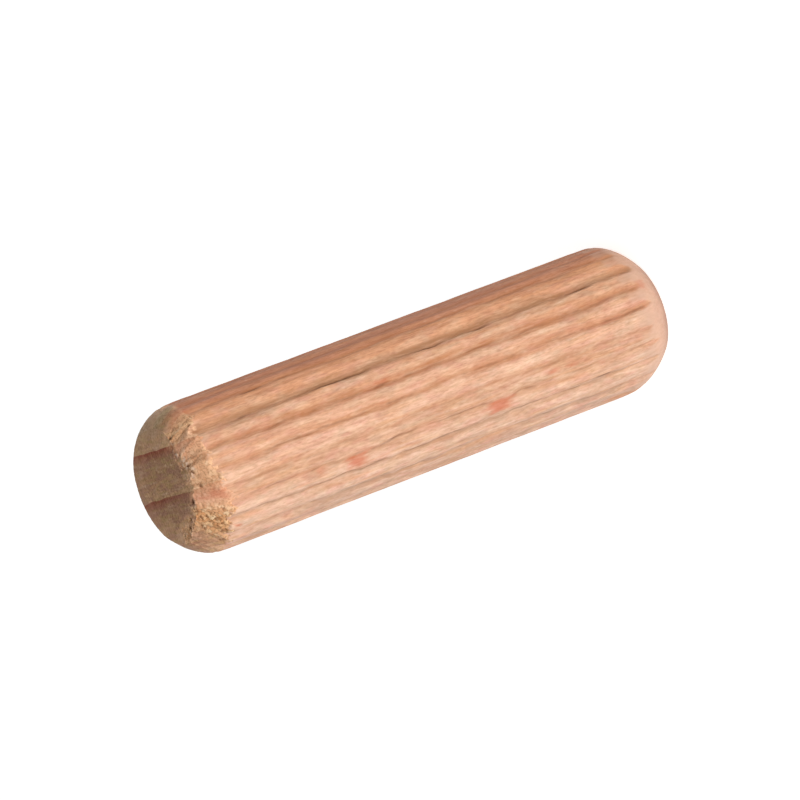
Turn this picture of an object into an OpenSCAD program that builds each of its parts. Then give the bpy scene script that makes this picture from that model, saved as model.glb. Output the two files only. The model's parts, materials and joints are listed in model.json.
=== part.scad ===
// Fluted wooden dowel pin, standing on one sawn end.
// The axis is +Z and the origin is the centre of the lower end. Sizes are in millimetres.

/* [Pin] */
// Diameter over the ridges, which is the size of the drilled hole
pin_d = 8; // [6:0.5:16]
// Overall length between the two sawn ends
pin_l = 30; // [20:1:80]

/* [Chamfers] */
// How far each chamfer comes in from the ridges
chamfer_depth = 1; // [0.4:0.1:1.8]
// How far each chamfer runs along the pin
chamfer_l = 1.4; // [0.4:0.1:3]

/* [Flutes] */
// Number of glue flutes round the pin
flute_count = 24; // [6:1:36]
// Width of a flute at its mouth
flute_w = 0.46; // [0.3:0.02:0.5]
// Depth of a flute below the ridges
flute_depth = 0.22; // [0.08:0.02:0.24]

/* [Hidden] */

pin_r = pin_d / 2;
end_r = pin_r - chamfer_depth;
flute_pitch = 360 / flute_count;

// A flute is the lower part of a round groove: its mouth is a chord of the ridge circle,
// and the groove's radius follows from that chord and the drop from the chord to the root.
mouth_r = sqrt(pow(pin_r, 2) - pow(flute_w / 2, 2));
root_r = pin_r - flute_depth;
mouth_drop = mouth_r - root_r;
groove_r = (pow(flute_w / 2, 2) + pow(mouth_drop, 2)) / (2 * mouth_drop);

// The groove cutters pass both ends by this much
overcut = 1;

$fn = 96;

// Turned blank: a plain cylinder with a chamfer at each end
module chamfered_blank() {
    rotate_extrude()
        polygon([
            [0, 0],
            [end_r, 0],
            [pin_r, chamfer_l],
            [pin_r, pin_l - chamfer_l],
            [end_r, pin_l],
            [0, pin_l]
        ]);
}

// One straight round-bottomed groove along the +X side, from end to end
module flute() {
    translate([root_r + groove_r, 0, -overcut])
        cylinder(r = groove_r, h = pin_l + 2 * overcut);
}

// The flutes run the whole length and fade out on the chamfers
module dowel_pin() {
    color("burlywood")
        difference() {
            chamfered_blank();
            for (i = [0 : flute_count - 1])
                rotate(i * flute_pitch)
                    flute();
        }
}

dowel_pin();
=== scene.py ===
"""Fluted beech dowel pin as the saw and the fluting rolls left it: torn at one end, clean at the other.

The pin stands on its clean end. The camera is rolled, so that the picture shows the pin lying.
Turns are in degrees round the pin, and zero faces the camera. Sizes are in millimetres.
"""
import json
import math
import random
from collections import namedtuple

import bmesh
import bpy
from mathutils import Matrix, Vector, noise


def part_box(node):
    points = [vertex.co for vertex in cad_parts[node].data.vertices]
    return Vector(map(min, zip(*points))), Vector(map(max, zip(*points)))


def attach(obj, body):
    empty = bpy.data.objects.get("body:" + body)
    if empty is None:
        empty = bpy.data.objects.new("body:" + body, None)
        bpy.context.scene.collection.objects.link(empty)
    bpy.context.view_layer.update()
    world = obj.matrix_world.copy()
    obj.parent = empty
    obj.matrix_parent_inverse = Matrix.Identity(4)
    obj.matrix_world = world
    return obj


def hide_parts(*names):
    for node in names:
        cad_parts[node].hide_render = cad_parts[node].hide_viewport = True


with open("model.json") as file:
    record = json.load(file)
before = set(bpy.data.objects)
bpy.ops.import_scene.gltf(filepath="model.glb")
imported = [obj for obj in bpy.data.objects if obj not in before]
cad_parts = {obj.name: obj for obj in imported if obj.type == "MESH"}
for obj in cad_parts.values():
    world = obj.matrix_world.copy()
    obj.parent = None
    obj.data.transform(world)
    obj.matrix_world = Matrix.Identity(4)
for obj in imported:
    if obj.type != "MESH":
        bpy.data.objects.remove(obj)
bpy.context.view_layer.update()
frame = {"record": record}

MM = 0.001
random.seed(8)

# The pin's own sizes, from the frame
SHANK = next(mount for mount in frame["record"]["mounts"] if mount["name"] == "shank")
PIN_R = SHANK["dims"]["r_mm"]
PIN_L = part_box("dowel_pin")[1][2] / MM

# Camera: its turn from +X, its rise, its roll, its distance, the width of what it sees, where the pin's
# middle is in the picture, and the nearest and the farthest that it shows
CAMERA_TURN = -92.7
CAMERA_RISE = 30.36
CAMERA_ROLL = 110.71
CAMERA_DISTANCE = 444.5
FIELD_WIDTH = 41.4
PICTURE_PX = 800
PIN_CENTRE_PX = (403.9, 398.45)
CLIP = (10, 20000)

# Light: turn, rise, distance, size and power of each softbox. The room is darkest toward one side, given by
# its turn and its rise, and gets darker between two cosines to that side. The floor glows
KEY = (-8, 12, 600, 350, 2.15)
FILL = (-95, 10, 600, 400, 0.05)
ROOM_DARK_SIDE = (90, -25)
ROOM_EDGE = (-0.6, 0.5)
ROOM_DARK = 0.03
ROOM_BRIGHT = 0.52
FLOOR_GLOW = 0.7
FLOOR_SIZE = 6000

# Rows and columns of the mesh. The rings of each end face are given as how many there are and how wide.
# Points this close to each other's height are level, and a face looks to an end when its normal is at least
# this much along the pin
COLUMNS = 480
BODY_CUTS = (8, 10)
TORN_ROWS = 48
CLEAN_ROWS = 14
TORN_RINGS = ((24, 0.045), (12, 0.15))
CLEAN_RINGS = ((3, 0.7),)
LEVEL = 0.01
FACING = 0.9
SMOOTH_ANGLE = 45

# What the mesh notes at each point for the wood to show. Of these, pit is painted shade in creases, torn
# places, holes and gaps, flute is the flutes' brown tint, which is partly painted shade, and sawn on the torn
# chamfer is partly painted shade
SHOWN = ("flute", "torn", "rough", "pit", "sawn", "stain", "pale", "clean")

# Random patterns. A Patch lies over the whole pin: how much it adds, how wide and how long its patches are,
# and its seed. A Wave runs along one flute: how much it adds, how long it is, and its seed
Patch = namedtuple("Patch", "amount across along seed")
Wave = namedtuple("Wave", "amount length seed")
SEED_STEP = 10

# A chamfer and the fluted side are rounded into each other over this much
BLEND = 0.05

# Clean chamfer: how far it comes in, how far it runs along the pin, how much it bulges, and how much
# farther it runs at the turn where it is longest
CLEAN_DEPTH = 1.05
CLEAN_RUN = 2.04
CLEAN_BULGE = 1.95
CLEAN_LEAN = 0.3
CLEAN_LEAN_TURN = -75

# Its look, greyer and with painted shade that darkens it toward the floor, starts where it is this far above
# the fluted side and is whole this far below it, and takes away this share of the flutes' brown tint with its
# painted shade. On the clean face that look starts at this share of the radius
CLEAN_EDGE = (0.05, -0.04)
CLEAN_PARES = 0.7
CLEAN_RIM = 0.8

# Torn chamfer: turn, how far it runs along the pin, and radius of the sawn face there
TORN_EDGE = (
    (-180, 1.5, 3.05), (-110, 1.75, 3.05), (-78, 1.6, 2.92), (-55, 1.3, 2.7), (-38, 1.5, 2.62),
    (-24, 1.35, 2.55), (-9, 1.0, 2.72), (11, 0.9, 2.85), (27, 0.85, 2.8), (43, 1.05, 2.85),
    (60, 1.35, 3.1), (90, 1.6, 3.12), (135, 1.45, 3.05), (180, 1.5, 3.05),
)
TORN_RUN = 1.85
TORN_FACE_R = 3.0

# It bulges, less so where the grain broke, and lies a little below the side
TORN_BULGE = 1.6
BREAK_FLATTENS = 0.5
TORN_SINK = 0.01

# Both of its edges waver, and only by this share where the rim is not ragged
RUN_WAVER = (Patch(0.45, 0.8, 1, 1), Patch(0.15, 0.3, 1, 2))
FACE_WAVER = (Patch(0.4, 0.8, 1, 3), Patch(0.2, 0.3, 1, 4))
LEAST_WAVER = 0.06

# Its edge on the side is frayed. It fades over this half width, which is wider by this much where the grain
# is whole, and no wider from this share of breaking on
EDGE_FRAY = (Patch(0.5, 0.25, 0.35, 7), Patch(0.3, 0.1, 0.15, 8))
EDGE_SHARP = 0.04
EDGE_SOFTER = 0.2
EDGE_BROKEN = 0.3

# Broken grain on the torn chamfer: turn and half width of each stretch, and how badly it broke
BREAKS = ((-54, 37, 1.0), (47, 15, 0.65), (8, 40, 0.5))

# Dull stretches of the torn chamfer, in the sawn face's brown, which here is partly painted shade: turn and
# half width of each. It is also this dull where its rim is not ragged, and it gets less dull toward the side
# by this share
DULL_AND_SHADE = ((70, 19), (-94, 50))
BACK_DULL_AND_SHADE = 0.6
DULL_AND_SHADE_FADE = 0.15

# The rim of the torn face is ragged from the first turn to the last, and that fades over these half widths
RAGGED_TURNS = (-96, 52)
RAGGED_FADES = (10, 16)

# The torn face lies this far below the end, so that raised fibres stay within the pin's length. Its rim is
# worn down by more, of which this share is spared where it is ragged. The wear starts at a share of the
# face's radius and runs some way along the chamfer
FACE_SINK = 0.03
RIM_WEAR = 0.05
RAGGED_SPARED = 0.8
WORN_FROM = 0.7
RIM_RUN = 0.6

# Worn shoulder of the torn end: its turn, its half width, and how far it is worn down
SHOULDER = (78, 45, 0.08)

# Crumbs of broken grain: size and share of the relief, how far their outlines stray, and how wide the gaps
# between them are as a share of their size. Their heights are read this many cells apart, so that neighbours
# differ. Gaps start and are full at two values of a pattern, so some stretches have none
CRUMBS = ((0.24, 0.6), (0.12, 0.4))
CRUMB_STRAY = Patch(0.14, 0.2, 0.2, 0)
CRUMB_GAP = 0.3
CRUMB_STEP = 9.7
GAPS = Patch(1.0, 0.3, 0.3, 4)
GAPS_FROM = (-0.1, 0.3)

# Small holes where crumbs have come out: their pattern, and where on it they start and are full. Broken grain
# adds to the pattern, so it has more of them
HOLES = Patch(1.0, 0.19, 0.19, 0)
HOLES_FROM = (0.56, 0.79)
HOLES_MORE = 0.3

# How deep crumbs, gaps and holes go on the torn chamfer, with more for crumbs where it broke, and on the
# face's rim
CRUMB_DEPTH = 0.02
BROKEN_DEPTH = 0.05
GAP_DEPTH = 0.03
HOLE_DEPTH = 0.11
RIM_CRUMB_DEPTH = 0.06
RIM_GAP_DEPTH = 0.04
RIM_HOLE_DEPTH = 0.12

# How dark the painted shade in small holes and gaps is on the torn chamfer. Gaps start to get painted shade
# at the first share of breaking and get the most at the second
HOLE_SHADE = 0.72
GAP_SHADE = 0.35
GAP_SHADE_FROM = (0.5, 1.0)

# Deep pits at the torn end: turn, distance from the axis, and distance from the end
PITS = (
    (50, 3.09, 0.2), (13.5, 2.98, 0.07), (6, 3.08, 0.15),
    (-9, 3.17, 0.23), (-29, 2.3, 0.05), (-72, 2.43, 0.05),
)
PIT_SIZE = 0.16
PIT_EDGE = (0.3, 1.0)
PIT_FRAY = Patch(0.4, 0.1, 0.1, 0)

# Loose rim of the torn face: where it starts, as a share of the radius, how rough it is at least, and how
# much of the sawn look it loses. The far rim, which is not ragged, loses some too, from another share of
# the radius out
FACE_FRAY = (Patch(0.25, 0.4, 1, 7), Patch(0.2, 0.13, 1, 8))
LOOSE_FROM = 0.78
LOOSE_ROUGH = 0.4
LOOSE_LOSES = 0.85
FAR_RIM_FROM = 0.5
FAR_RIM_LOSES = 0.28

# Crumbled stretch of that rim: its turn, its half width, how much farther in it reaches, and its roughness
CRUMBLED = (-80, 32, 0.24, 0.9)

# Pale fibres that stand up at the rim of the torn face, from one share of its radius to another: how high
# they stand, the turn and half width where they are palest, how pale they are elsewhere, and how far they
# run down the chamfer
FRINGE_FROM = (0.84, 0.98)
FRINGE = Patch(1.0, 0.2, 1, 9)
FRINGE_RISE = 0.04
PALEST = (18, 30)
PALE_LEAST = 0.25
PALE_RUN = 0.3
PALE = Patch(1.0, 0.2, 0.2, 6)
PALE_FROM = (0.0, 0.4)

# Marks that the saw left on the torn face
SAW_RELIEF = Patch(0.012, 0.12, 1, 0)

# Flutes: 24 of them, not quite even. Each has its turn, its share of the full depth, the half widths of its
# upper and lower flanks, the turn of the crease along it, how dark the painted shade in that crease is, and
# how strong its brown tint is, which is partly painted shade
Flute = namedtuple("Flute", "turn depth upper lower crease dark tint")
FLUTES = 24
FLUTE_DEPTH = 0.165
SEEN_FLUTES = (
    Flute(66.5, 0.3, 6, 6, 64.5, 0.1, 0.45),
    Flute(54.5, 0.4, 6, 6, 53, 0.12, 0.55),
    Flute(34.6, 1.15, 10.5, 8, 33.6, 0.1, 0.85),
    Flute(18, 1.05, 7.5, 7.5, 16, 0.6, 0.72),
    Flute(2.6, 1.1, 6.5, 6.5, 1.3, 0.85, 0.52),
    Flute(-15.5, 0.55, 6, 6, -15, 0.5, 0.36),
    Flute(-28.5, 1.0, 7, 5, -27.2, 0.8, 0.4),
    Flute(-44, 1.4, 7, 6, -42.2, 0.9, 0.65),
    Flute(-61.5, 1.4, 7, 6, -59.6, 0.9, 0.75),
    Flute(-79, 1.4, 8, 8, -77.2, 0.7, 0.8),
)

# Flutes on the far side: how far they stray from even, the half width of their flanks, how far the crease
# lies from the middle, and the least and the most of their depth, crease shade and tint. The crease shade is
# painted shade, and the tint is partly painted shade
FAR_STRAY = 1.5
FAR_HALF_WIDTH = 6.0
FAR_CREASE = 1.5
FAR_DEPTH = (0.6, 1.0)
FAR_CREASE_SHADE = (0.4, 0.9)
FAR_TINT_AND_SHADE = (0.15, 0.7)

# Unevenness along a flute: how it sways and shakes, and how its width and its depth change
SWAY = (Wave(2.0, 5.0, 3), Wave(1.3, 1.3, 5))
SHAKE = Wave(0.4, 0.4, 7)
WIDTH_WAVE = Wave(0.25, 2.2, 9)
DEPTH_WAVES = (Wave(0.8, 3.5, 11), Wave(0.5, 0.8, 17))

# A flute is narrower at the clean end, and its tint is fainter at both ends: the share there, and how far
# from that end it starts to grow and is whole
NARROW_CLEAN = (0.7, 1.5, 8.0)
FAINT_TORN = (0.65, 1.0, 6.0)
FAINT_CLEAN = (0.8, 2.0, 7.0)

# This share of the tint fades all the way to the flanks, and the rest stays in the flute's core, which starts
# and is whole at these shares of that fade
TINT_SPREAD = 0.45
TINT_CORE = (0.25, 0.95)

# Crease along a flute: its half width, and how deep it is as a share of a torn place. It shakes, and it is
# broken in places
CREASE_HALF_WIDTH = 1.3
CREASE_DEPTH = 0.55
CREASE_SHAKE = Wave(0.8, 0.7, 23)
CREASE_BREAKS = (Wave(1.0, 1.6, 31), Wave(0.6, 0.45, 37))
CREASE_KEPT = (-0.25, 0.3)

# How dark the painted shade in creases and torn places is, and how that varies
DEEP_SHADE = 0.8
DEEP_MOTTLE = Patch(0.4, 0.1, 0.3, 0)

# Torn places in the flutes: turn, and where they start and end from the torn end
GOUGES = (
    (32, 8.0, 11.6), (32, 14.7, 16.4), (31.8, 18.1, 19.3), (32, 24.5, 26.0), (32.4, 3.4, 4.4),
    (-40.3, 14.5, 15.8), (-40.3, 24.4, 25.7), (-26, 11.2, 12.2), (16.2, 11.4, 12.2), (53, 4.6, 5.9),
    (-57.4, 4.8, 6.0), (-40.5, 7.9, 8.8), (-40.5, 10.3, 11.1),
)
GOUGE_HALF_WIDTH = 1.6
GOUGE_DEPTH = 0.07
GOUGE_SWAY = Patch(0.9, 1, 0.9, 0)

# A torn place fades from this far outside its end to this far inside
GOUGE_FADE = (0.4, 0.7)

# Raised fibres all over the side
FIBRE_RELIEF = (Patch(0.008, 0.12, 0.8, 0), Patch(0.012, 0.3, 2.5, 5))

# Red stains: turn, distance from the torn end, half width in degrees, half length, and strength
STAINS = (
    (-32.5, 9.25, 6.5, 0.8, 0.6), (-32, 18.35, 6.5, 0.95, 0.6), (-31, 6.95, 4.5, 0.3, 0.3),
    (17.5, 11.9, 2.8, 0.5, 0.5), (-21, 21.8, 1.8, 0.4, 0.45), (-21.5, 22.95, 1.9, 0.45, 0.45),
    (-50, 1.75, 2.3, 0.25, 0.7), (17, 28.7, 4.5, 0.3, 0.4), (-19, 0.85, 6.5, 0.5, 0.42),
    (61, 0.95, 9, 0.7, 0.36),
)
STAIN_FRAY = (Patch(0.5, 0.12, 0.6, 0), Patch(0.4, 0.35, 0.5, 0))
STAIN_EDGE = (0.15, 1.2)

# Growth rings: which way they lie, their width, and where one ends. The wave texture has its own radians to
# each unit
RING_TURN = 4.2
RING_WIDTH = 2.5
RING_END = 2.0
WAVE_RADIANS = 20

# Widths and lengths of the wood's patterns along the grain. Beech's real fibres, rays and pores are finer
# than these: they are drawn as coarse as they need to be to show in the picture
BLOTCH = (0.42, 1.1)
STREAK = (0.3, 4.0)
MOTTLE = (0.22, 2.2)
FIBRE = (0.09, 0.4)
FLECK = (0.2, 0.5)
SPECK = (0.12, 0.12)
CHIP = (0.19, 0.3)
CHIP_BEND = (0.15, 0.15)
PORE = (0.14, 0.14)

# How far the outlines of chips stray, and how high chips and fibres stand in the light
CHIP_STRAY = 0.12
BUMP_HEIGHT = 0.02

# Rays and saw marks on the sawn end: how far they reach along X and along Y. The pattern of the marks is
# turned after it is stretched, so the turn only picks which marks come out
RAY = (0.22, 0.9)
SAW_MARK = (0.5, 0.08)
SAW_PICK = 40.7

# Blotches of the side and of the sawn end: which value of a pattern they follow, where on it they start and
# are full, how strong they are, and their colour
SIDE_BLOTCHES = (
    ("Red", 0.48, 0.64, 0.44, "DFA491"),
    ("Blue", 0.5, 0.66, 0.36, "C9AE94"),
    ("Green", 0.48, 0.64, 0.38, "F3CDAC"),
)
END_BLOTCHES = (
    ("Red", 0.46, 0.6, 0.75, "C6A775"),
    ("Green", 0.46, 0.6, 0.75, "BC8F7B"),
    ("Blue", 0.54, 0.7, 0.6, "E8C6A6"),
)

# The side's colour, with painted shade that makes it darker and redder toward the picture's top, changes
# between this far below the pin's middle and this far above it, as the picture shows it. Where the side turns
# away at the top, its blotches are drawn toward a value that shows none
SIDE_REACH = 3.6
NO_BLOTCH = 0.45

# Settings of a Mix node for colours, and its output
COLOUR = {"out": 2, "data_type": "RGBA"}


def linear(hexes):
    """sRGB hex to the linear colour that the shader takes."""
    shares = [int(hexes[i:i + 2], 16) / 255 for i in (0, 2, 4)]
    return [c / 12.92 if c <= 0.04045 else ((c + 0.055) / 1.055) ** 2.4 for c in shares] + [1.0]


def smooth(low, high, value):
    """Goes from 0 at low to 1 at high, with soft ends."""
    share = min(max((value - low) / (high - low), 0.0), 1.0)
    return share * share * (3 - 2 * share)


def grown(least, low, high, value):
    """Goes from least at low to 1 at high, with soft ends."""
    return least + (1 - least) * smooth(low, high, value)


def hump(half, off):
    """1 over the middle quarter of the way to half, then down to 0 at half."""
    return 1 - smooth(0.25, 1.0, abs(off) / half)


def soft_min(first, second, reach):
    """The lesser of two sizes, rounded where they meet."""
    share = max(reach - abs(first - second), 0.0) / reach
    return min(first, second) - share * share * reach / 4


def around(turn):
    """A turn brought to between -180 and 180 degrees."""
    return (turn + 180) % 360 - 180


def hum(x, y, z, *patches):
    """What random patches add at a place."""
    total = 0.0
    for amount, across, along, seed in patches:
        total += amount * noise.noise(Vector((x / across + SEED_STEP * seed, y / across, z / along)))
    return total


def drift(flute, height, *waves):
    """What random waves add at a height along a flute."""
    total = 0.0
    for amount, length, seed in waves:
        total += amount * noise.noise(Vector((flute.turn, seed, height / length)))
    return total


def polar(turn, radius, along):
    """The place at this turn, this far from the axis and this far from the torn end."""
    angle = math.radians(CAMERA_TURN + turn)
    return Vector((radius * math.cos(angle), radius * math.sin(angle), PIN_L - along))


def select(mesh, kind, wanted):
    """Selects in edit mode the verts, edges or faces that wanted says yes to, and nothing else."""
    bpy.ops.mesh.select_all(action="DESELECT")
    shape = bmesh.from_edit_mesh(mesh)
    for item in getattr(shape, kind):
        if wanted(item):
            item.select_set(True)
    shape.select_flush_mode()
    bmesh.update_edit_mesh(mesh)


def is_upright(edge):
    """Whether an edge runs along the straight part of the pin."""
    low, high = sorted(vert.co.z / MM for vert in edge.verts)
    inside = low > CLEAN_RUN - LEVEL and high < PIN_L - TORN_RUN + LEVEL
    return inside and high - low > LEVEL


def turned_blank():
    """Rod with a chamfer at each end, in rows and columns that are fine enough for the torn grain."""
    straight = PIN_L - TORN_RUN - CLEAN_RUN
    bpy.ops.object.select_all(action="DESELECT")
    bpy.ops.mesh.primitive_cylinder_add(
        vertices=COLUMNS, radius=PIN_R * MM, depth=straight * MM,
        location=(0, 0, (CLEAN_RUN + straight / 2) * MM))
    blank = bpy.context.object
    blank.name = "fluted_beech_pin"
    # The primitive's own map is kept, under the name OFBake
    blank.data.uv_layers[0].name = "OFBake"
    bpy.ops.object.transform_apply(location=True, rotation=True, scale=True)
    bpy.ops.object.mode_set(mode="EDIT")
    bpy.ops.mesh.select_mode(type="FACE")
    ends = (
        (1, PIN_R - TORN_FACE_R, TORN_RUN, TORN_ROWS, TORN_RINGS),
        (-1, CLEAN_DEPTH, CLEAN_RUN, CLEAN_ROWS, CLEAN_RINGS),
    )
    for side, depth, run, rows, rings in ends:
        select(blank.data, "faces", lambda face: face.normal.z * side > FACING)
        for row in range(rows):
            bpy.ops.mesh.inset(thickness=depth / rows * MM, depth=run / rows * MM)
        for count, width in rings:
            for ring in range(count):
                bpy.ops.mesh.inset(thickness=width * MM, depth=0)
        bpy.ops.mesh.poke()
    bpy.ops.mesh.select_mode(type="EDGE")
    for cuts in BODY_CUTS:
        select(blank.data, "edges", is_upright)
        bpy.ops.mesh.subdivide(number_cuts=cuts)
    bpy.ops.object.mode_set(mode="OBJECT")
    return blank


def flute_places():
    """The flutes that the camera sees, and the others, spread over the rest of the way round."""
    places = list(SEEN_FLUTES)
    hidden = FLUTES - len(places)
    first, last = places[0].turn, places[-1].turn
    pitch = (360 - first + last) / (hidden + 1)
    for i in range(hidden):
        turn = around(last - pitch * (i + 1) + random.uniform(-FAR_STRAY, FAR_STRAY))
        depth = random.uniform(*FAR_DEPTH)
        dark = random.uniform(*FAR_CREASE_SHADE)
        tint = random.uniform(*FAR_TINT_AND_SHADE)
        places.append(Flute(turn, depth, FAR_HALF_WIDTH, FAR_HALF_WIDTH, turn - FAR_CREASE, dark, tint))
    return places


def broken(turn):
    """How badly the torn chamfer broke at this turn, from 0 to 1."""
    return max(share * hump(half, around(turn - place)) for place, half, share in BREAKS)


def ragged(turn):
    """How ragged the rim of the torn face is at this turn, from 0 to 1."""
    first, last = RAGGED_TURNS
    before, after = RAGGED_FADES
    return smooth(first - before, first + before, turn) * (1 - smooth(last - after, last + after, turn))


def dull_and_shade(turn):
    """Share of the sawn face's dull brown on the torn chamfer at this turn, which is partly painted shade."""
    most = max(hump(half, around(turn - place)) for place, half in DULL_AND_SHADE)
    return max(BACK_DULL_AND_SHADE * (1 - ragged(turn)), most)


def palest(turn):
    """How near this turn is to the palest fibres, from 0 to 1."""
    place, half = PALEST
    return hump(half, turn - place)


def rim_drop(turn):
    """How far the rim of the torn face lies below the end at this turn."""
    place, half, wear = SHOULDER
    return FACE_SINK + RIM_WEAR * (1 - RAGGED_SPARED * ragged(turn)) + wear * hump(half, around(turn - place))


def torn_edge(turn, unit):
    """How far the torn chamfer runs along the pin at this turn, and the radius of its sawn face there."""
    for (low, low_run, low_r), (high, high_run, high_r) in zip(TORN_EDGE, TORN_EDGE[1:]):
        if low <= turn <= high:
            share = smooth(low, high, turn)
            run = low_run + (high_run - low_run) * share
            face_r = low_r + (high_r - low_r) * share
    x, y = unit[0] * PIN_R, unit[1] * PIN_R
    wild = LEAST_WAVER + (1 - LEAST_WAVER) * ragged(turn)
    run += hum(x, y, 0, *RUN_WAVER) * wild
    face_r += hum(x, y, 0, *FACE_WAVER) * wild
    return run, face_r


def flute_cut(turn, height, flutes):
    """Depth of the flute here, share of its brown tint, which is partly painted shade, and share of the
    painted shade in the crease along it.
    """
    flute = min(flutes, key=lambda one: abs(around(turn - one.turn)))
    sway = drift(flute, height, *SWAY)
    off = around(turn - flute.turn) + sway + drift(flute, height, SHAKE)
    half = (flute.upper if off > 0 else flute.lower) * (1 + drift(flute, height, WIDTH_WAVE))
    half *= grown(*NARROW_CLEAN, height)
    middle = 0.5 + 0.5 * math.cos(math.pi * min(1.0, abs(off) / half))
    pressed = flute.depth * (1 + drift(flute, height, *DEPTH_WAVES))

    # The tint, which is partly painted shade, lies halfway between the flute's middle and its crease
    aside = off + (flute.turn - flute.crease) / 2
    inner = 0.5 + 0.5 * math.cos(math.pi * min(1.0, abs(aside) / half))
    tint = flute.tint * (TINT_SPREAD * inner + (1 - TINT_SPREAD) * smooth(*TINT_CORE, inner))
    tint *= grown(*FAINT_TORN, PIN_L - height) * grown(*FAINT_CLEAN, height)

    beside = around(turn - flute.crease) + sway + drift(flute, height, CREASE_SHAKE)
    line = max(0.0, 1 - (beside / CREASE_HALF_WIDTH) ** 2)
    kept = smooth(*CREASE_KEPT, drift(flute, height, *CREASE_BREAKS))
    return FLUTE_DEPTH * pressed * middle, tint, flute.dark * line * kept


def gouge(turn, along):
    """How deep the torn places in the flutes go here, as a share."""
    deepest = 0.0
    outside, inside = GOUGE_FADE
    for place, start, end in GOUGES:
        off = around(turn - place) + hum(place, 2, along, GOUGE_SWAY)
        across = 1 - (off / GOUGE_HALF_WIDTH) ** 2
        begun = smooth(start - outside, start + inside, along)
        ended = smooth(end - inside, end + outside, along)
        deepest = max(deepest, max(0.0, across) * begun * (1 - ended))
    return deepest


def stain(edge, height, turn, along):
    """Share of a red stain here. It is squarish, and its ends run out along the grain."""
    strongest = 0.0
    frayed = hum(*edge, height, *STAIN_FRAY)
    for place, middle, half_turn, half_run, share in STAINS:
        far = max(abs(around(turn - place)) / half_turn, abs(along - middle) / half_run) + frayed
        strongest = max(strongest, share * (1 - smooth(*STAIN_EDGE, far)))
    return strongest


def crumbs(at):
    """Broken grain: how far a crumb lies below the highest ones, and share of a gap between crumbs."""
    x, y, z = at
    at = at + Vector((hum(x, y, z, CRUMB_STRAY), hum(y, z, x, CRUMB_STRAY), hum(z, x, y, CRUMB_STRAY)))
    low = 0.0
    gap = 0.0
    for size, share in CRUMBS:
        far, spots = noise.voronoi(at / size)
        low += share * (0.5 - 0.5 * noise.cell(spots[0] * CRUMB_STEP))
        gap = max(gap, share * (1 - smooth(0.0, CRUMB_GAP, far[1] - far[0])))
    return low, gap


def holes(at, rough):
    """Shares of a small hole and of a deep pit, where grains have come out."""
    small = rough * smooth(*HOLES_FROM, hum(*at, HOLES) + HOLES_MORE * rough)
    frayed = hum(*at, PIT_FRAY)
    deep = max(1 - smooth(*PIT_EDGE, (at - polar(*pit)).length / PIT_SIZE + frayed) for pit in PITS)
    return small, deep


def torn_chamfer(unit, z, turn):
    """Radius and height of the torn chamfer here, and what shows on it."""
    edge = unit * PIN_R
    along = PIN_L - z
    run, face_r = torn_edge(turn, unit)
    rough = broken(turn)
    blur = EDGE_SHARP + EDGE_SOFTER * (1 - smooth(0.0, EDGE_BROKEN, rough))
    frayed = ragged(turn) * hum(*edge, z, *EDGE_FRAY)
    torn = smooth(run + blur, run - blur, along + frayed)

    radius = PIN_R - (PIN_R - face_r) * max(0.0, 1 - along / run) ** (TORN_BULGE - BREAK_FLATTENS * rough)
    height = z - rim_drop(turn) * max(0.0, 1 - along / RIM_RUN)
    at = Vector((*(unit * radius), height))
    low, gap = crumbs(at)
    gap *= smooth(*GAPS_FROM, hum(*at, GAPS))
    small, deep = holes(at, rough)
    crumbled = (CRUMB_DEPTH + BROKEN_DEPTH * rough) * low + GAP_DEPTH * rough * gap
    gone = HOLE_DEPTH * max(small, deep) * torn
    radius -= torn * (TORN_SINK + crumbled + gone)

    # Painted shade in small holes, deep pits and gaps between crumbs
    dark = max(HOLE_SHADE * small, deep, GAP_SHADE * gap * smooth(*GAP_SHADE_FROM, rough))
    pale = palest(turn) * (1 - smooth(0.0, PALE_RUN, along)) * smooth(*PALE_FROM, hum(*at, PALE))
    # On the chamfer, the sawn share is partly painted shade
    look = {
        "torn": torn,
        "rough": torn * rough,
        "pit": torn * dark,
        "sawn": torn * dull_and_shade(turn) * (1 - DULL_AND_SHADE_FADE * min(1.0, along / run)),
        "pale": torn * pale,
    }
    return radius, height, look


def clean_chamfer(z, turn):
    """Radius of the clean chamfer here."""
    run = CLEAN_RUN + CLEAN_LEAN * math.cos(math.radians(turn - CLEAN_LEAN_TURN))
    return PIN_R - CLEAN_DEPTH * max(0.0, 1 - z / run) ** CLEAN_BULGE


def carve_side(x, y, z, turn, flutes):
    """Where a point of the side goes, and what shows there."""
    unit = Vector((x, y)).normalized()
    edge = unit * PIN_R
    along = PIN_L - z
    depth, tint, crease = flute_cut(turn, z, flutes)
    deep = max(CREASE_DEPTH * crease, gouge(turn, along))
    # Painted shade darkens the crease and the torn places, through the pit colour
    pit = deep * (DEEP_SHADE + hum(*edge, z, DEEP_MOTTLE))
    radius = PIN_R - depth - GOUGE_DEPTH * deep + hum(*edge, z, *FIBRE_RELIEF)
    height = z
    look = {"torn": 0.0, "clean": 0.0, "pit": 0.0}
    if along < TORN_RUN:
        torn_radius, height, look = torn_chamfer(unit, z, turn)
        radius = soft_min(radius, torn_radius, BLEND)
        look["clean"] = 0.0
    if z < CLEAN_RUN + CLEAN_LEAN:
        turned = clean_chamfer(z, turn)
        look["clean"] = smooth(*CLEAN_EDGE, turned - radius)
        radius = soft_min(radius, turned, BLEND)
    side = 1 - look["torn"]
    look["pit"] = min(1.0, max(pit * side, look["pit"]) * (1 - look["clean"]))
    look["flute"] = tint * side * (1 - CLEAN_PARES * look["clean"])
    look["stain"] = stain(edge, z, turn, along)
    return (*(unit * radius), height), look


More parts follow.
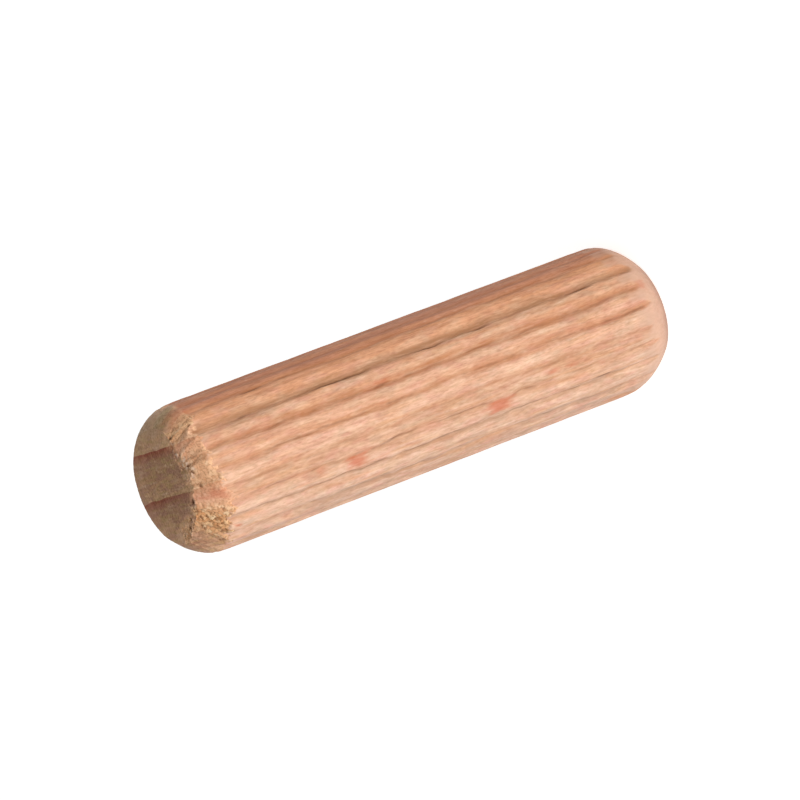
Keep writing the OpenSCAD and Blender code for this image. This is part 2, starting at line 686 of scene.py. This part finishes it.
def carve_torn_face(x, y, turn):
    """Where a point of the sawn face at the torn end goes, and what shows there."""
    radius = math.hypot(x, y)
    unit = Vector((x, y)).normalized()
    share = radius / TORN_FACE_R
    x, y = unit * radius * (torn_edge(turn, unit)[1] / TORN_FACE_R)
    frayed = share + hum(x, y, 0, *FACE_FRAY)
    place, half, reach, crumbled_rough = CRUMBLED
    crumbled = hump(half, around(turn - place))
    loose = ragged(turn) * smooth(LOOSE_FROM - reach * crumbled, 1.0, frayed)
    rough = loose * max(LOOSE_ROUGH + (1 - LOOSE_ROUGH) * broken(turn), crumbled_rough * crumbled)
    fringe = smooth(*FRINGE_FROM, share) * smooth(*PALE_FROM, hum(x, y, 0, FRINGE)) * ragged(turn)

    face = PIN_L - FACE_SINK
    at = Vector((x, y, face))
    low, gap = crumbs(at)
    gone = max(holes(at, rough))
    worn = (rim_drop(turn) - FACE_SINK) * max(0.0, (share - WORN_FROM) / (1 - WORN_FROM)) ** 2
    lost = rough * (RIM_CRUMB_DEPTH * low + RIM_GAP_DEPTH * gap) + RIM_HOLE_DEPTH * gone
    height = face + FRINGE_RISE * fringe - hum(x, y, 0, SAW_RELIEF) - worn - lost
    far_rim = (1 - ragged(turn)) * smooth(FAR_RIM_FROM, 1.0, frayed)
    # The pit share here is painted shade in the holes of the rim
    look = {
        "torn": 1.0,
        "rough": rough,
        "pit": gone,
        "sawn": 1 - LOOSE_LOSES * loose - FAR_RIM_LOSES * far_rim,
        "pale": min(1.0, fringe * (PALE_LEAST + palest(turn))),
    }
    return (x, y, min(height, PIN_L)), look


def clean_face(x, y):
    """What shows at a point of the sawn face at the clean end."""
    rim = smooth(CLEAN_RIM, 1.0, math.hypot(x, y) / (PIN_R - CLEAN_DEPTH))
    return {"sawn": 1 - rim, "clean": 1.0}


def carve(pin, flutes):
    """Moves the blank's points to the flutes, the torn grain and the saw marks, and notes what each shows.

    The points are moved one by one, because no operator tears grain at the places where this pin is torn."""
    shows = {name: [] for name in SHOWN}
    for point in pin.data.vertices:
        x, y, z = (c / MM for c in point.co)
        turn = around(math.degrees(math.atan2(y, x)) - CAMERA_TURN)
        if z > PIN_L - LEVEL:
            place, look = carve_torn_face(x, y, turn)
        elif z < LEVEL:
            place, look = (x, y, z), clean_face(x, y)
        else:
            place, look = carve_side(x, y, z, turn, flutes)
        point.co = [c * MM for c in place]
        for name, values in shows.items():
            values.append(look.get(name, 0.0))
    for name, values in shows.items():
        pin.data.attributes.new(name, "FLOAT", "POINT").data.foreach_set("value", values)
    pin.data.update()


def add(tree, kind, links=None, out=0, stops=None, **settings):
    """Adds a node with its settings and gives back one of its outputs. links gives each input a socket to
    follow, a value or a hex colour, and stops gives a ramp's places and hex colours.

    Inputs that share a name go by number. On MapRange, 0 is the value, 1 and 2 are what it goes from, and
    3 and 4 what it goes to. On a Mix of colours, 0 is the share of the second, and 6 and 7 are the
    colours."""
    made = tree.nodes.new("ShaderNode" + kind)
    for name, value in settings.items():
        setattr(made, name, value)
    for name, value in (links or {}).items():
        if isinstance(value, bpy.types.NodeSocket):
            tree.links.new(value, made.inputs[name])
        else:
            made.inputs[name].default_value = linear(value) if isinstance(value, str) else value
    if stops:
        elements = made.color_ramp.elements
        while len(elements) < len(stops):
            elements.new(0.5)
        for element, (place, tone) in zip(elements, stops):
            element.position = place
            element.color = linear(tone)
    return made.outputs[out]


def grain(across, along):
    """Scale that makes a pattern's patches this wide and this long on the pin."""
    return (1 / (across * MM), 1 / (across * MM), 1 / (along * MM))


def across_end(along_x, along_y):
    """Scale that makes a pattern's patches reach this far along X and along Y on the sawn end."""
    return (1 / (along_x * MM), 1 / (along_y * MM), 1)


def patchy(tree, place, scale, detail, roughness=0.5, out=0):
    """Random pattern at this scale, with finer detail in it."""
    scaled = add(tree, "Mapping", {"Vector": place, "Scale": scale})
    return add(tree, "TexNoise", {
        "Vector": scaled, "Scale": 1.0, "Detail": detail, "Roughness": roughness,
    }, out)


def blotched(tree, wood, pattern, blotches):
    """Wood with blotches of several colours, each where one value of a pattern is high."""
    values = add(tree, "SeparateColor", {0: pattern}).node.outputs
    for value, start, full, most, tone in blotches:
        share = add(tree, "MapRange", {0: values[value], 1: start, 2: full, 3: 0.0, 4: most})
        wood = add(tree, "Mix", {0: share, 6: wood, 7: tone}, **COLOUR)
    return wood


def darkened(tree, wood, pattern, stops, share=1.0):
    """Wood that is darker where a pattern is low, by the tones that stops gives."""
    tone = add(tree, "ValToRGB", {0: pattern}, stops=stops)
    return add(tree, "Mix", {0: share, 6: wood, 7: tone}, **COLOUR, blend_type="MULTIPLY")


def side_grain(tree, place, turned, shows, fibre):
    """Pressed side of the pin: pinkish tan, with painted shade that makes it darker and redder toward the
    picture's top, in soft blotches, with fine straight fibres, short ray flecks and light flecks that are
    painted highlights. The flutes are browner, partly with painted shade, and the clean chamfer is greyer
    toward its rim, with painted shade that darkens it toward the floor."""
    across = add(tree, "SeparateXYZ", {0: turned}, "X")
    # Painted shade: the side is darker and redder toward the picture's top, and darker at its lowest edge
    shade_across = add(tree, "MapRange", {0: across, 1: -SIDE_REACH * MM, 2: SIDE_REACH * MM})
    wood = add(tree, "ValToRGB", {0: shade_across}, stops=(
        (0.0, "D6B19B"), (0.12, "E8C3AB"), (0.3, "E0B397"), (0.39, "D9AC91"), (0.45, "EEC1A5"),
        (0.5, "E5B598"), (0.6, "E4B294"), (0.71, "DEAC8C"), (0.87, "E7AD88"), (0.93, "DFA077"),
        (0.99, "C78A6C")))

    blotches = patchy(tree, place, grain(*BLOTCH), 1.0, out="Color")
    calm = add(tree, "MapRange", {0: shade_across, 1: 0.82, 2: 0.97, 3: 0.0, 4: 0.75})
    plain = (NO_BLOTCH, NO_BLOTCH, NO_BLOTCH, 1.0)
    blotches = add(tree, "Mix", {0: calm, 6: blotches, 7: plain}, **COLOUR)
    wood = blotched(tree, wood, blotches, SIDE_BLOTCHES)
    streak = patchy(tree, place, grain(*STREAK), 3.0)
    tan = add(tree, "MapRange", {0: streak, 1: 0.5, 2: 0.68, 3: 0.0, 4: 0.4})
    wood = add(tree, "Mix", {0: tan, 6: wood, 7: "D89A68"}, **COLOUR)
    mottle = patchy(tree, place, grain(*MOTTLE), 3.0, 0.6)
    wood = darkened(tree, wood, mottle, (
        (0.3, "E8DFD8"), (0.5, "F7F3F0"), (0.62, "FFFFFF"), (0.8, "FFFFFF")))
    wood = darkened(tree, wood, fibre, (
        (0.28, "E4DCD5"), (0.45, "F5F1ED"), (0.6, "FFFFFF"), (0.75, "FFFFFF")))

    fleck_at = add(tree, "Mapping", {"Vector": place, "Scale": grain(*FLECK)})
    flecks = add(tree, "TexVoronoi", {"Vector": fleck_at, "Scale": 1.0}).node.outputs
    near = add(tree, "MapRange", {0: flecks["Distance"], 1: 0.1, 2: 0.34, 3: 0.16, 4: 0.0})
    kind = add(tree, "SeparateColor", {0: flecks["Color"]}, "Red")
    # Dark ray flecks, and light flecks that are painted highlights
    for test, bound, tone in (("GREATER_THAN", 0.75, "B0683F"), ("LESS_THAN", 0.2, "F4DAC4")):
        chosen = add(tree, "Math", {0: kind, 1: bound}, operation=test)
        shown = add(tree, "Math", {0: near, 1: chosen}, operation="MULTIPLY")
        wood = add(tree, "Mix", {0: shown, 6: wood, 7: tone}, **COLOUR)

    # The flutes' brown tint, which is partly painted shade in the grooves
    brown_and_shade = add(tree, "ValToRGB", {0: shade_across}, stops=(
        (0.2, "B48C70"), (0.3, "C08456"), (0.55, "BC7A4C"), (0.68, "B8764A"), (0.8, "A67550"),
        (0.88, "A67550"), (0.96, "B0683C")))
    uneven = add(tree, "MapRange", {0: mottle, 1: 0.4, 2: 0.62, 3: 1.0, 4: 0.5})
    pressed = add(tree, "Math", {0: shows["flute"], 1: uneven}, operation="MULTIPLY")
    wood = add(tree, "Mix", {0: pressed, 6: wood, 7: brown_and_shade}, **COLOUR)

    # Painted shade: the clean chamfer gets greyer and darker toward the floor it stands on
    height = add(tree, "SeparateXYZ", {0: place}, "Z")
    from_rim = add(tree, "MapRange", {0: height, 1: 0.0, 2: 1.6 * MM})
    floor_shade = add(tree, "ValToRGB", {0: from_rim}, stops=(
        (0.0, "7C675D"), (0.12, "9E8174"), (0.35, "BC9B89"), (0.8, "CEA993")))
    cut = add(tree, "Math", {0: shows["clean"], 1: 0.7}, operation="MULTIPLY")
    return add(tree, "Mix", {0: cut, 6: wood, 7: floor_shade}, **COLOUR)


def torn_grain(tree, place, rings, shows, chip, gap):
    """Chamfer where the grain tore: tan, and golden and crumbly where it broke, with painted shade in the
    cracks between some chips."""
    wood = add(tree, "ValToRGB", {0: rings}, stops=(
        (0.0, "F2C4A1"), (0.5, "EFBC9A"), (0.8, "E9B193"), (1.0, "E0A282")))
    speck = patchy(tree, place, grain(*SPECK), 3.0, 0.6)
    wood = darkened(tree, wood, speck, ((0.3, "DCCCBE"), (0.48, "F5EFEA"), (0.6, "FFFFFF"), (0.8, "FFFFFF")))
    gold = add(tree, "ValToRGB", {0: chip}, stops=(
        (0.0, "D99A67"), (0.4, "EAB17F"), (0.8, "F5C695"), (1.0, "FAD8AC")))
    # Painted shade in the cracks between chips
    edged = add(tree, "MapRange", {0: gap, 1: 0.0, 2: 0.22, 3: 0.8, 4: 0.0})
    parted = add(tree, "MapRange", {0: speck, 1: 0.42, 2: 0.58, 3: 1.0, 4: 0.1})
    crack_shade = add(tree, "Math", {0: edged, 1: parted}, operation="MULTIPLY")
    gold = add(tree, "Mix", {0: crack_shade, 6: gold, 7: "8C5A30"}, **COLOUR)
    return add(tree, "Mix", {0: shows["rough"], 6: wood, 7: gold}, **COLOUR)


def end_grain(tree, place, turned, rings, shows):
    """Sawn end: darker and greyer brown, with rays, pores and faint saw marks, and greener at its upper far
    side. Where a growth ring ends it is reddish, most of all on the side away from the camera."""
    wood = add(tree, "ValToRGB", {0: rings}, stops=(
        (0.0, "DEB58D"), (0.3, "D6A983"), (0.5, "CBA07B"), (0.75, "C29777"), (1.0, "BE9075")))
    rays = patchy(tree, turned, across_end(*RAY), 3.0, out="Color")
    wood = blotched(tree, wood, rays, END_BLOTCHES)

    # X goes up in the picture, and Y goes away from the camera
    across = add(tree, "SeparateXYZ", {0: turned}, "X")
    far = add(tree, "SeparateXYZ", {0: turned}, "Y")
    upper = add(tree, "MapRange", {0: across, 1: 2.4 * MM, 2: 3.2 * MM, 3: 0.0, 4: 0.5})
    beyond = add(tree, "MapRange", {0: far, 1: -1.9 * MM, 2: -0.7 * MM})
    greener = add(tree, "Math", {0: upper, 1: beyond}, operation="MULTIPLY")
    wood = add(tree, "Mix", {0: greener, 6: wood, 7: "DACBA2"}, **COLOUR)

    late = add(tree, "MapRange", {0: rings, 1: 0.78, 2: 0.97})
    outer = add(tree, "MapRange", {0: across, 1: 0.5 * MM, 2: 1.5 * MM, 3: 0.0, 4: 0.9})
    faded = add(tree, "MapRange", {0: far, 1: -2.2 * MM, 2: 1.0 * MM, 3: 0.3, 4: 0.8})
    inner = add(tree, "MapRange", {0: across, 1: -3.0 * MM, 2: -2.2 * MM, 3: 0.15, 4: 1.0})
    seen = add(tree, "Math", {0: outer, 1: faded}, operation="MAXIMUM")
    kept = add(tree, "Math", {0: seen, 1: inner}, operation="MULTIPLY")
    red = add(tree, "Math", {0: late, 1: kept}, operation="MULTIPLY")
    wood = add(tree, "Mix", {0: red, 6: wood, 7: "A45741"}, **COLOUR)

    pore = patchy(tree, place, grain(*PORE), 4.0, 0.7)
    wood = darkened(tree, wood, pore, ((0.3, "C2B5A8"), (0.5, "F2EEE9"), (0.65, "FFFFFF"), (0.8, "FFFFFF")))
    picked = (0, 0, math.radians(SAW_PICK))
    saw_at = add(tree, "Mapping", {"Vector": place, "Rotation": picked, "Scale": across_end(*SAW_MARK)})
    saw = add(tree, "TexNoise", {"Vector": saw_at, "Scale": 1.0, "Detail": 3.0})
    flat = add(tree, "MapRange", {0: shows["sawn"], 1: 0.82, 2: 1.0})
    marks = ((0.3, "DED7D0"), (0.48, "F3EFEB"), (0.62, "FFFFFF"), (1.0, "FFFFFF"))
    return darkened(tree, wood, saw, marks, flat)


def beech():
    """Beech, sawn, turned and pressed, with no finish: pale, matt and warm on the side, darker on the sawn
    end, and crumbly gold where the grain tore."""
    material = bpy.data.materials.new("beech")
    material.use_nodes = True
    tree = material.node_tree
    shader = tree.nodes["Principled BSDF"]
    place = add(tree, "TexCoord", out="Object")
    shows = {name: add(tree, "Attribute", out="Fac", attribute_name=name) for name in SHOWN}

    turned = add(tree, "Mapping", {"Vector": place, "Rotation": (0, 0, math.radians(RING_TURN))})
    rings = add(tree, "TexWave", {
        "Vector": turned, "Scale": math.tau / WAVE_RADIANS / (RING_WIDTH * MM),
        "Phase Offset": -math.tau * RING_END / RING_WIDTH,
        "Distortion": 0.35, "Detail": 2.0, "Detail Scale": 5.0,
    }, "Fac", bands_direction="X", wave_profile="SAW")
    fibre = patchy(tree, place, grain(*FIBRE), 3.0, 0.6)
    bend = patchy(tree, place, grain(*CHIP_BEND), 1.0, out="Color")
    strayed = add(tree, "Mix", {0: CHIP_STRAY * MM, 6: place, 7: bend}, **COLOUR, blend_type="ADD")
    chip_at = add(tree, "Mapping", {"Vector": strayed, "Scale": grain(*CHIP)})
    cell = add(tree, "TexVoronoi", {"Vector": chip_at, "Scale": 1.0}, "Color")
    chip = add(tree, "SeparateColor", {0: cell}, "Red")
    gap = add(tree, "TexVoronoi", {"Vector": chip_at, "Scale": 1.0}, "Distance", feature="DISTANCE_TO_EDGE")

    wood = side_grain(tree, place, turned, shows, fibre)
    # The pit colour is painted shade in creases, torn places, holes, pits and gaps
    layers = (
        ("torn", torn_grain(tree, place, rings, shows, chip, gap)),
        ("sawn", end_grain(tree, place, turned, rings, shows)),
        ("stain", "C25C36"), ("pale", "E4C6AE"), ("pit", "704628"),
    )
    for name, tone in layers:
        wood = add(tree, "Mix", {0: shows[name], 6: wood, 7: tone}, **COLOUR)
    tree.links.new(wood, shader.inputs["Base Color"])

    lifted = add(tree, "Math", {0: chip, 1: gap}, operation="ADD")
    loose = add(tree, "Math", {0: lifted, 1: shows["rough"]}, operation="MULTIPLY")
    rise = add(tree, "Math", {0: fibre, 1: loose}, operation="ADD")
    bump = add(tree, "Bump", {"Strength": 0.5, "Distance": BUMP_HEIGHT * MM, "Height": rise})
    tree.links.new(bump, shader.inputs["Normal"])
    roughness = add(tree, "MapRange", {0: fibre, 1: 0.3, 2: 0.7, 3: 0.72, 4: 0.56})
    tree.links.new(roughness, shader.inputs["Roughness"])
    shader.inputs["Specular IOR Level"].default_value = 0.2
    return material


def studio_paper():
    """White seamless paper, lit from below so that it stays white."""
    material = bpy.data.materials.new("studio_paper")
    material.use_nodes = True
    shader = material.node_tree.nodes["Principled BSDF"]
    shader.inputs["Base Color"].default_value = linear("F4F4F2")
    shader.inputs["Roughness"].default_value = 0.9
    shader.inputs["Emission Color"].default_value = linear("FFFFFF")
    shader.inputs["Emission Strength"].default_value = FLOOR_GLOW
    return material


def toward(turn, rise):
    """Direction from the pin at this turn from the camera and this rise from the floor."""
    angle = math.radians(CAMERA_TURN + turn)
    flat = math.cos(math.radians(rise))
    return Vector((math.cos(angle) * flat, math.sin(angle) * flat, math.sin(math.radians(rise))))


def place_camera():
    """Camera at the photograph's angle. It is rolled, so that the standing pin lies in the picture."""
    back = toward(0, CAMERA_RISE)
    right = Vector((0, 0, 1)).cross(back).normalized()
    up = back.cross(right)
    roll = math.radians(CAMERA_ROLL)
    across = right * math.cos(roll) - up * math.sin(roll)
    over = right * math.sin(roll) + up * math.cos(roll)
    px = FIELD_WIDTH / PICTURE_PX
    off_x = (PIN_CENTRE_PX[0] - PICTURE_PX / 2) * px
    off_y = (PICTURE_PX / 2 - PIN_CENTRE_PX[1]) * px
    aim = Vector((0, 0, PIN_L / 2)) - across * off_x - over * off_y
    data = bpy.data.cameras.new("camera")
    data.lens = data.sensor_width * CAMERA_DISTANCE / FIELD_WIDTH
    data.clip_start, data.clip_end = (reach * MM for reach in CLIP)
    camera = bpy.data.objects.new("camera", data)
    axes = Matrix((across, over, back)).transposed().to_4x4()
    camera.matrix_world = Matrix.Translation((aim + back * CAMERA_DISTANCE) * MM) @ axes
    bpy.context.scene.collection.objects.link(camera)
    bpy.context.scene.camera = camera


def softbox(name, turn, rise, distance, size, power):
    """Square soft light that faces the pin."""
    data = bpy.data.lights.new(name, "AREA")
    data.size = size * MM
    data.energy = power
    light = bpy.data.objects.new(name, data)
    way = toward(turn, rise)
    light.location = way * (distance * MM) + Vector((0, 0, PIN_L / 2 * MM))
    light.rotation_euler = way.to_track_quat("Z", "Y").to_euler()
    bpy.context.scene.collection.objects.link(light)


def light_studio():
    """Key light beside the camera, fill from the picture's lower side, and a room that is dark at the
    picture's top."""
    softbox("key", *KEY)
    softbox("fill", *FILL)
    world = bpy.data.worlds.new("room")
    world.use_nodes = True
    tree = world.node_tree
    way = add(tree, "TexCoord", out="Generated")
    side = add(tree, "VectorMath", {0: way, 1: toward(*ROOM_DARK_SIDE)}, "Value", operation="DOT_PRODUCT")
    first, last = ROOM_EDGE
    room = add(tree, "MapRange", {0: side, 1: first, 2: last, 3: ROOM_BRIGHT, 4: ROOM_DARK})
    tree.links.new(room, tree.nodes["Background"].inputs["Color"])
    bpy.context.scene.world = world
    bpy.context.scene.view_settings.view_transform = "Standard"


def lay_floor():
    """Wide sheet of paper under the pin."""
    bpy.ops.object.select_all(action="DESELECT")
    bpy.ops.mesh.primitive_plane_add(size=FLOOR_SIZE * MM, location=(0, 0, 0))
    floor = bpy.context.object
    floor.name = "floor"
    floor.data.materials.append(studio_paper())


pin = turned_blank()
carve(pin, flute_places())
bpy.ops.object.select_all(action="DESELECT")
pin.select_set(True)
bpy.context.view_layer.objects.active = pin
bpy.ops.object.shade_smooth_by_angle(angle=math.radians(SMOOTH_ANGLE))
pin.data.materials.clear()
pin.data.materials.append(beech())
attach(pin, "root")
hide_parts("dowel_pin")

lay_floor()
light_studio()
place_camera()
